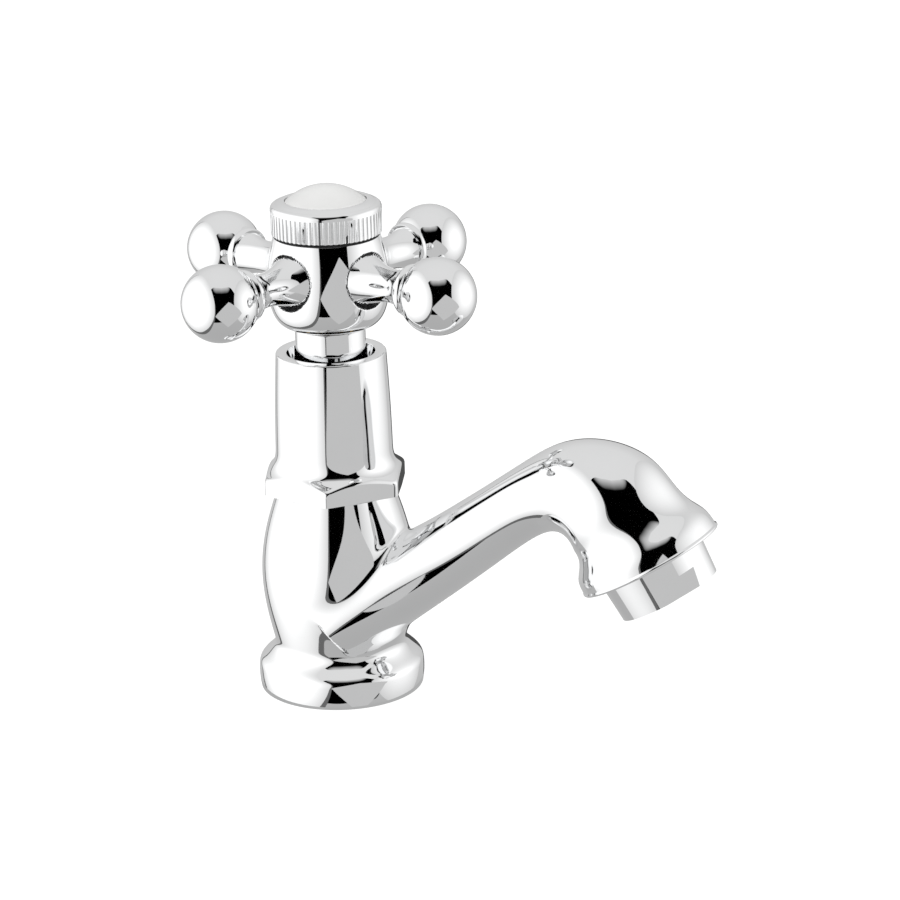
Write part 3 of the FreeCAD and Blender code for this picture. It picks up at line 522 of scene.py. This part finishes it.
def find_stations(points):
    """Station of the section that each point lies in, by search along the whole path."""
    path = np.linspace(0, PATH_END, PATH_STEPS)
    found = np.zeros(len(points))
    for start in range(0, len(points), SEARCH_CHUNK):
        x, y, z = (points[start:start + SEARCH_CHUNK, k, None] for k in range(3))
        ahead = ahead_of(x, z, path)
        gap = np.hypot(beside(x, z, path), y / SPREAD(path)) - GIRTH(path)
        crossing = (ahead[:, :-1] >= 0) & (ahead[:, 1:] < 0)
        score = np.where(crossing, gap[:, :-1], np.inf)
        k = np.argmin(score, axis=1)
        row = np.arange(len(k))
        share = ahead[row, k] / np.maximum(ahead[row, k] - ahead[row, k + 1], TINY)
        near = path[k] + np.clip(share, 0, 1) * (path[1] - path[0])
        none = ~crossing.any(axis=1)
        near[none] = np.where(ahead[none, 0] < 0, path[0], path[-1])
        found[start:start + SEARCH_CHUNK] = near
    return found


def spout_gap(points, stations):
    """Distance of points outside the spout's skin, or outside its flat ends."""
    x, y, z = points.T
    for _ in range(STATION_ROUNDS):
        slope = (ahead_of(x, z, stations + PROBE) - ahead_of(x, z, stations - PROBE)) / (2 * PROBE)
        step = ahead_of(x, z, stations) / np.minimum(slope, -LEAST_SLOPE)
        stations = np.clip(stations - np.clip(step, -STATION_STEP, STATION_STEP), 0, PATH_END)
    up, wide = beside(x, z, stations), SPREAD(stations)
    reach = np.maximum(np.hypot(up, y / wide), PROBE)
    steep = np.hypot(up, y / wide ** 2) / reach
    flare = (GIRTH(stations + PROBE) - GIRTH(stations - PROBE)) / (2 * PROBE)
    out = (reach - GIRTH(stations)) / np.hypot(steep, flare)
    beyond = np.abs(ahead_of(x, z, stations))
    return np.where(beyond > OFF_SECTION, np.hypot(np.maximum(out, 0), beyond), out)


def casting_field(points):
    """Column and spout, run together."""
    stations = find_stations(points)
    return lambda moved: soft_min(turned_gap(moved, column_radius), spout_gap(moved, stations),
                                  BLEND)


def add_tube(shape, rings):
    """Closed tube through rings: centre in X and Z, radius, lean about Y and widening."""
    before = None
    for number, (x, z, radius, lean, wide) in enumerate(rings):
        place = (Matrix.Translation((x, 0, z)) @ Matrix.Rotation(lean, 4, "Y")
                 @ Matrix.Diagonal((1, wide, 1, 1)))
        ends = number in (0, len(rings) - 1)
        made = bmesh.ops.create_circle(shape, cap_ends=ends, segments=TUBE_SIDES, radius=radius,
                                       matrix=place)
        edges = {edge for vert in made["verts"] for edge in vert.link_edges}
        if before:
            bmesh.ops.bridge_loops(shape, edges=list(before | edges))
        before = edges


def rough_casting():
    """Turned column and ringed spout as closed overlapping shells, remeshed into one."""
    shape = bmesh.new()
    heights = np.linspace(FOOT_Z - ROUGH_OVER, LAND_Z + ROUGH_OVER, COLUMN_RINGS)
    add_tube(shape, [(0, h, column_radius(h), 0.0, 1.0) for h in heights])
    path = np.linspace(0, PATH_END, SPOUT_RINGS)
    add_tube(shape, [(AXIS_X(s), AXIS_Z(s), GIRTH(s), math.pi / 2 - TILT(s), SPREAD(s))
                     for s in path])
    thing = new_object("rough_casting", shape)
    remesh = thing.modifiers.new("remesh", "REMESH")
    remesh.mode = "VOXEL"
    remesh.voxel_size = VOXEL
    graph = bpy.context.evaluated_depsgraph_get()
    shape = bmesh.new()
    shape.from_mesh(thing.evaluated_get(graph).to_mesh())
    mesh = thing.data
    bpy.data.objects.remove(thing)
    bpy.data.meshes.remove(mesh)
    return shape


def cut_flat(shape, place, away, reach):
    """Removes what lies beyond a plane, within a reach of its point."""
    place = Vector(place)
    near = {vert for vert in shape.verts if (vert.co - place).length < reach}
    edges = [edge for edge in shape.edges if near.issuperset(edge.verts)]
    faces = [face for face in shape.faces if near.issuperset(face.verts)]
    bmesh.ops.bisect_plane(shape, geom=list(near) + edges + faces, dist=WELD, plane_co=place,
                           plane_no=away, clear_outer=True)


def open_edges(shape, place, away, reach):
    """Edges that a cut left open on its plane."""
    place, away = Vector(place), Vector(away)
    return [edge for edge in shape.edges if edge.is_boundary
            and all(abs((vert.co - place).dot(away)) < ON_PLANE for vert in edge.verts)
            and (edge.verts[0].co - place).length < reach]


def ring_on(shape, edges, centre, axis, radius, along):
    """Extrudes an open loop and lays the new one on a circle about the axis."""
    mark = shape.verts.layers.int["skin"]
    made = bmesh.ops.extrude_edge_only(shape, edges=edges)["geom"]
    centre, axis = Vector(centre), Vector(axis)
    for item in made:
        if isinstance(item, bmesh.types.BMVert):
            arm = item.co - centre
            arm -= arm.dot(axis) * axis
            item.co = centre + arm.normalized() * radius + axis * along
            item[mark] = 0
    return [item for item in made if isinstance(item, bmesh.types.BMEdge) and item.is_boundary]


def tap_casting():
    """Flange, column and spout in one skin, with the seats turned into it."""
    shape = rough_casting()
    origin, up = (0, 0, 0), (0, 0, 1)
    rim_place = MOUTH - OUTLET * RIM_DEPTH
    # point and direction of each cut, and how far from the point it reaches
    cuts = (((0, 0, FOOT_Z), (0, 0, -1), CREST_R + CUT_OVER),
            ((0, 0, LAND_Z), up, SWELL_R[-1] + CUT_OVER),
            (tuple(rim_place), tuple(OUTLET), BEND_SECTIONS[-1][3] + CUT_OVER))
    for cut in cuts:
        cut_flat(shape, *cut)
    loops = [open_edges(shape, *cut) for cut in cuts]
    mark = shape.verts.layers.int.new("skin")
    for vert in shape.verts:
        vert[mark] = 1
    lay_on(shape, casting_field)
    for (place, away, _), loop in zip(cuts, loops):
        place, away = Vector(place), Vector(away)
        for vert in {vert for edge in loop for vert in edge.verts}:
            vert.co -= away * (vert.co - place).dot(away)
    for edges, (centre, axis, rings) in zip(loops, ((origin, up, FOOT_RECESS),
                                                    (origin, up, BONNET_SEAT),
                                                    (MOUTH, OUTLET, RIM_RINGS))):
        for radius, along in rings:
            edges = ring_on(shape, edges, centre, axis, radius, along)
        bmesh.ops.contextual_create(shape, geom=edges)
    return dress(finished("tap_casting", shape, casting_field), "chrome", "root", "tap_body")


# ============================================================ threaded tail
def threaded_tail():
    """Half inch tail below the flange: teeth one above the other, drawn up a pitch a turn."""
    shape = bmesh.new()
    lowest = TAIL_FOOT_Z - 2 * THREAD_PITCH
    teeth = math.ceil((TAIL_TOP_Z - lowest) / THREAD_PITCH) + 1
    chain = [shape.verts.new((radius, 0, lowest + (tooth + height) * THREAD_PITCH))
             for tooth in range(teeth) for radius, height in THREAD_TOOTH]
    edges = [shape.edges.new(pair) for pair in zip(chain, chain[1:])]
    bmesh.ops.spin(shape, geom=chain + edges, axis=(0, 0, 1), cent=(0, 0, 0),
                   angle=2 * math.pi, steps=THREAD_STEPS,
                   dvec=(0, 0, THREAD_PITCH / THREAD_STEPS))
    bmesh.ops.remove_doubles(shape, verts=shape.verts[:], dist=THREAD_WELD)
    ends = ((TAIL_FOOT_Z, 1), (TAIL_TOP_Z, -1))
    for place, inwards in ends:
        bmesh.ops.bisect_plane(shape, geom=shape.verts[:] + shape.edges[:] + shape.faces[:],
                               plane_co=(0, 0, place), plane_no=(0, 0, -inwards),
                               clear_outer=True)
    for vert in shape.verts:
        reach, room = vert.co.xy.length, THREAD_CREST_R - TAIL_CHAMFER + vert.co.z - TAIL_FOOT_Z
        if reach > room:
            vert.co.xy *= room / reach
    shape.verts.layers.int.new("skin")
    for place, inwards in ends:
        edges = open_edges(shape, (0, 0, place), (0, 0, inwards), THREAD_CREST_R + CUT_OVER)
        for radius, depth in ((BORE_R + BORE_EASE, 0), (BORE_R, BORE_EASE), (BORE_R, BORE_DEPTH)):
            edges = ring_on(shape, edges, (0, 0, 0), (0, 0, 1), radius, place + inwards * depth)
        bmesh.ops.contextual_create(shape, geom=edges)
    bmesh.ops.recalc_face_normals(shape, faces=shape.faces[:])
    bmesh.ops.scale(shape, vec=(MM, MM, MM), verts=shape.verts[:])
    return dress(new_object("threaded_tail", shape), "brass", "root", "tap_body")


# ============================================================ shroud
SLEEVE_SIDE = natural_spline(SLEEVE_Z, SLEEVE_R)


def shroud_gap(points):
    """Hexagon with its corners turned off, running into the sleeve."""
    x, y, z = points.T
    turns = [SHROUD_TURN + math.radians(30 + 60 * k) for k in range(3)]
    flats = [np.abs(x * math.cos(turn) + y * math.sin(turn)) - SHROUD_FLATS / 2 for turn in turns]
    hexagon = soft_max(soft_max(flats[0], flats[1], CORNER_SOFT), flats[2], CORNER_SOFT)
    reach = np.hypot(x, y)
    cone = (z - CHAMFER_Z) * math.cos(CHAMFER_LEAN) + (reach - CHAMFER_R) * math.sin(CHAMFER_LEAN)
    foot = soft_max(hexagon, cone, ARC_SOFT)
    return soft_min(foot, turned_gap(points, SLEEVE_SIDE), FOOT_SOFT)


def shroud():
    """Chromed cover of the headwork: sleeve on a hexagon foot."""
    shape = turned(SHROUD_BLANK, SHROUD_INSIDE)
    lay_on(shape, lambda points: shroud_gap)
    edge_z, inner_r = SHROUD_BLANK[0][1], SHROUD_INSIDE[-1][0]
    for vert in shape.verts:
        if vert.co.z < edge_z + FOOT_LEVEL and vert.co.xy.length > inner_r + FOOT_LEVEL:
            vert.co.z = edge_z
    return dress(finished("bonnet_shroud_skin", shape, lambda points: shroud_gap),
                 "chrome", "root", "bonnet_shroud")


# ============================================================ hub
def belly_radius(height):
    """Radius of the barrel, widest at its belly."""
    return BELLY_R - (height - BELLY_Z) ** 2 / (2 * BELLY_ROUND)


def recess_gap(points):
    """Distance outside the nearest of the round recesses that the arms sit in."""
    gaps = []
    for turn in ARM_TURNS:
        along = points[:, 0] * math.cos(turn) + points[:, 1] * math.sin(turn)
        across = points[:, 1] * math.cos(turn) - points[:, 0] * math.sin(turn)
        side = np.hypot(across, points[:, 2] - ARM_Z) - RECESS_R
        gaps.append(soft_max(side, RECESS_FLOOR - along, RECESS_SOFT))
    return np.min(gaps, axis=0)


def hub_gap(points):
    """Barrel with a rounded foot and the skirt below it, recessed for the arms."""
    foot = HUB_FOOT_Z - points[:, 2]
    barrel = soft_max(turned_gap(points, belly_radius), foot, HUB_FOOT_SOFT)
    skirt = np.hypot(points[:, 0], points[:, 1]) - SKIRT_R
    return soft_max(soft_min(barrel, skirt, SKIRT_SOFT), -recess_gap(points), RECESS_SOFT)


def hub():
    """Hub with its skirt; the seam under the ring and the recesses are painted near-black as
    shade.
    """
    shape = turned(HUB_BLANK, HUB_INSIDE)
    lay_on(shape, lambda points: hub_gap)
    thing = dress(finished("hub_body", shape, lambda points: hub_gap),
                  "chrome", "handle", "handle_hub")
    # second slot: near-black painted shade for the seam under the ring and the arm recesses
    thing.data.materials.append(FINISHES["groove"])
    faces = thing.data.polygons
    centres = np.array([face.center for face in faces]) / MM
    reach, height = np.hypot(centres[:, 0], centres[:, 1]), centres[:, 2]
    seam = (reach > SEAM_R) & (height > SEAM_Z)
    deep = (turned_gap(centres, belly_radius) < -GROOVE_DEPTH) & (height > HUB_FOOT_Z)
    sunk = deep & (recess_gap(centres) < RECESS_SOFT)
    # faces in the seam and deep in the recesses take the painted shade
    for face, painted_shade in zip(faces, seam | sunk):
        face.material_index = int(painted_shade)
    return thing


# ============================================================ studio
def direction(azimuth, elevation):
    """Unit vector at degrees to the right of the camera and above the horizon."""
    turn, rise = CAMERA_AZIMUTH + math.radians(azimuth), math.radians(elevation)
    return Vector((math.sin(turn) * math.cos(rise), -math.cos(turn) * math.cos(rise),
                   math.sin(rise)))


def only_in_mirrors(thing):
    """Stage object that only reflections see."""
    thing.visible_camera = thing.visible_diffuse = thing.visible_shadow = False
    thing.visible_transmission = thing.visible_volume_scatter = False


def card(name, azimuth, elevation, half_width, half_height, distance, core, edge=None, *,
         corner, soft_from=0.6, upwards=False):
    """Curved card round the tap: a disc drawn out to a rounded square or a diamond."""
    shape = bmesh.new()
    spokes = [shape.verts.new((k / CARD_RINGS, 0, 0)) for k in range(CARD_RINGS + 1)]
    chain = [shape.edges.new(pair) for pair in zip(spokes, spokes[1:])]
    bmesh.ops.spin(shape, geom=spokes + chain, axis=(0, 0, 1), cent=(0, 0, 0),
                   angle=2 * math.pi, steps=CARD_STEPS, use_merge=True)
    bmesh.ops.remove_doubles(shape, verts=shape.verts[:], dist=CARD_WELD)
    uv = shape.loops.layers.uv.new("card")
    for face in shape.faces:
        for loop in face.loops:
            loop[uv].uv = loop.vert.co.xy
    for vert in shape.verts:
        reach, angle = vert.co.length, math.atan2(vert.co.y, vert.co.x)
        across = math.copysign(abs(math.cos(angle)) ** (2 / corner), math.cos(angle)) * reach
        up = math.copysign(abs(math.sin(angle)) ** (2 / corner), math.sin(angle)) * reach
        vert.co = STUDIO_CENTRE + distance * direction(azimuth + across * half_width,
                                                       elevation + up * half_height)
    thing = new_object(name, shape)
    edge = core if edge is None else edge
    thing.data.materials.append(card_glow(name, core, edge, soft_from, upwards))
    only_in_mirrors(thing)


def card_glow(name, core, edge, soft_from, upwards):
    """Glow that changes from the core to the card's edge all round, or to its top."""
    material, nodes, links, output = new_material(name)
    place = nodes.new("ShaderNodeUVMap")
    place.uv_map = "card"
    parts = nodes.new("ShaderNodeSeparateXYZ")
    reach = nodes.new("ShaderNodeVectorMath")
    reach.operation = "LENGTH"
    links.new(place.outputs["UV"], reach.inputs[0])
    links.new(place.outputs["UV"], parts.inputs["Vector"])
    glow = nodes.new("ShaderNodeEmission")
    source = parts.outputs["Y"] if upwards else reach.outputs["Value"]
    links.new(spread(nodes, links, source, core, edge, soft_from, 1.0), glow.inputs["Strength"])
    links.new(glow.outputs["Emission"], output.inputs["Surface"])
    return material


def tent():
    """Dome of cloth round the tap: dim low down, brighter overhead."""
    shape = bmesh.new()
    bmesh.ops.create_uvsphere(shape, u_segments=TENT_SEGMENTS, v_segments=TENT_RINGS,
                              radius=TENT_RADIUS)
    bmesh.ops.reverse_faces(shape, faces=shape.faces[:])
    bmesh.ops.translate(shape, vec=STUDIO_CENTRE, verts=shape.verts[:])
    dome = new_object("tent", shape)
    material, nodes, links, output = new_material("tent_cloth")
    place = nodes.new("ShaderNodeTexCoord")
    parts = nodes.new("ShaderNodeSeparateXYZ")
    links.new(place.outputs["Object"], parts.inputs["Vector"])
    rise = spread(nodes, links, parts.outputs["Z"], 0.0, 1.0, STUDIO_CENTRE.z - TENT_RADIUS,
                  STUDIO_CENTRE.z + TENT_RADIUS)
    shades = [(level, level, level) for level in TENT_SHADES]
    glow = nodes.new("ShaderNodeEmission")
    links.new(between(nodes, links, rise, *shades), glow.inputs["Color"])
    links.new(glow.outputs["Emission"], output.inputs["Surface"])
    dome.data.materials.append(material)
    only_in_mirrors(dome)


def floor():
    """Pale plane that the flange stands on, seen by the camera and by matt surfaces."""
    shape = bmesh.new()
    bmesh.ops.create_grid(shape, x_segments=1, y_segments=1, size=FLOOR_SIZE / 2)
    plane = new_object("floor", shape)
    material, nodes, links, output = new_material("floor")
    path = nodes.new("ShaderNodeLightPath")
    matt = nodes.new("ShaderNodeBsdfDiffuse")
    matt.inputs["Color"].default_value = (FLOOR_SHADE, FLOOR_SHADE, FLOOR_SHADE, 1)
    glow = nodes.new("ShaderNodeEmission")
    links.new(spread(nodes, links, path.outputs["Is Camera Ray"], 0.0, FLOOR_TO_CAMERA, 0.0, 1.0),
              glow.inputs["Strength"])
    both = nodes.new("ShaderNodeAddShader")
    links.new(matt.outputs["BSDF"], both.inputs[0])
    links.new(glow.outputs["Emission"], both.inputs[1])
    below = nodes.new("ShaderNodeNewGeometry")
    clear = nodes.new("ShaderNodeBsdfTransparent")
    mix = nodes.new("ShaderNodeMixShader")
    links.new(below.outputs["Backfacing"], mix.inputs["Fac"])
    links.new(both.outputs["Shader"], mix.inputs[1])
    links.new(clear.outputs["BSDF"], mix.inputs[2])
    links.new(mix.outputs["Shader"], output.inputs["Surface"])
    plane.data.materials.append(material)
    plane.visible_glossy = False


def light_world():
    """White to the camera and in reflections, a plain light on matt surfaces."""
    world = bpy.data.worlds.new("studio")
    bpy.context.scene.world = world
    world.use_nodes = True
    nodes, links = world.node_tree.nodes, world.node_tree.links
    nodes.clear()
    path = nodes.new("ShaderNodeLightPath")
    output = nodes.new("ShaderNodeOutputWorld")
    light = nodes.new("ShaderNodeBackground")
    light.inputs["Color"].default_value = (WORLD_LIGHT, WORLD_LIGHT, WORLD_LIGHT, 1)
    white = nodes.new("ShaderNodeBackground")
    white.inputs["Color"].default_value = (1, 1, 1, 1)
    seen = larger_of(nodes, links, path.outputs["Is Camera Ray"], path.outputs["Is Glossy Ray"])
    seen = larger_of(nodes, links, seen, path.outputs["Is Transmission Ray"])
    mix = nodes.new("ShaderNodeMixShader")
    links.new(seen, mix.inputs["Fac"])
    links.new(light.outputs["Background"], mix.inputs[1])
    links.new(white.outputs["Background"], mix.inputs[2])
    links.new(mix.outputs["Shader"], output.inputs["Surface"])


def lamp(name, azimuth, elevation, size, power):
    """Soft lamp that matt surfaces see, aimed at the tap."""
    data = bpy.data.lights.new(name, "AREA")
    data.size = size
    data.energy = power
    thing = bpy.data.objects.new(name, data)
    bpy.context.scene.collection.objects.link(thing)
    away = direction(azimuth, elevation)
    thing.matrix_world = (Matrix.Translation(STUDIO_CENTRE + away * LAMP_DISTANCE)
                          @ away.to_track_quat("Z", "Y").to_matrix().to_4x4())
    thing.visible_glossy = False


def deck_drum():
    """Stands round what is under the deck, so that no mirror shows it above the floor."""
    shape = bmesh.new()
    bmesh.ops.create_cone(shape, cap_ends=True, segments=CARD_STEPS, radius1=DRUM_R,
                          radius2=DRUM_R, depth=DRUM_H)
    bmesh.ops.translate(shape, vec=(0, 0, -DRUM_H / 2 - MM), verts=shape.verts[:])
    drum = new_object("deck_drum", shape)
    material, nodes, links, output = new_material("deck_drum")
    glow = nodes.new("ShaderNodeEmission")
    glow.inputs["Strength"].default_value = DRUM_GLOW
    links.new(glow.outputs["Emission"], output.inputs["Surface"])
    drum.data.materials.append(material)
    only_in_mirrors(drum)


def studio():
    """Softboxes left and right, the dark gap between them and the grey card in front."""
    floor()
    light_world()
    tent()
    deck_drum()
    # azimuth, elevation, half width and half height in degrees; distance; glow of core and edge
    card("dark_gap", 5, 12, 47, 49, 0.80, 0.0, 0.64, corner=9, soft_from=0.66, upwards=True)
    card("left_border", -82, 0, 67, 61, 0.72, 0.14, corner=2.3)
    card("softbox_left", -82, 4, 65, 58, 0.66, 1.15, 0.74, corner=2.3, soft_from=0.72)
    card("softbox_right", 90, 4, 51, 48, 0.66, 1.15, 0.66, corner=2.3, soft_from=0.35)
    card("grey_card", 22, -17, 40, 38, 0.50, 0.56, corner=1.12)
    card("far_strip", 169, -16, 9, 16, 0.80, 0.08, corner=4)
    # azimuth and elevation in degrees, size, power in watts
    lamp("key", -60, 50, 0.8, 4.0)
    lamp("fill", 80, 40, 0.8, 2.0)


place_camera()
finish_nodes()
tap_casting()
threaded_tail()
shroud()
hub()
studio()

bpy.context.scene.view_settings.view_transform = "Standard"
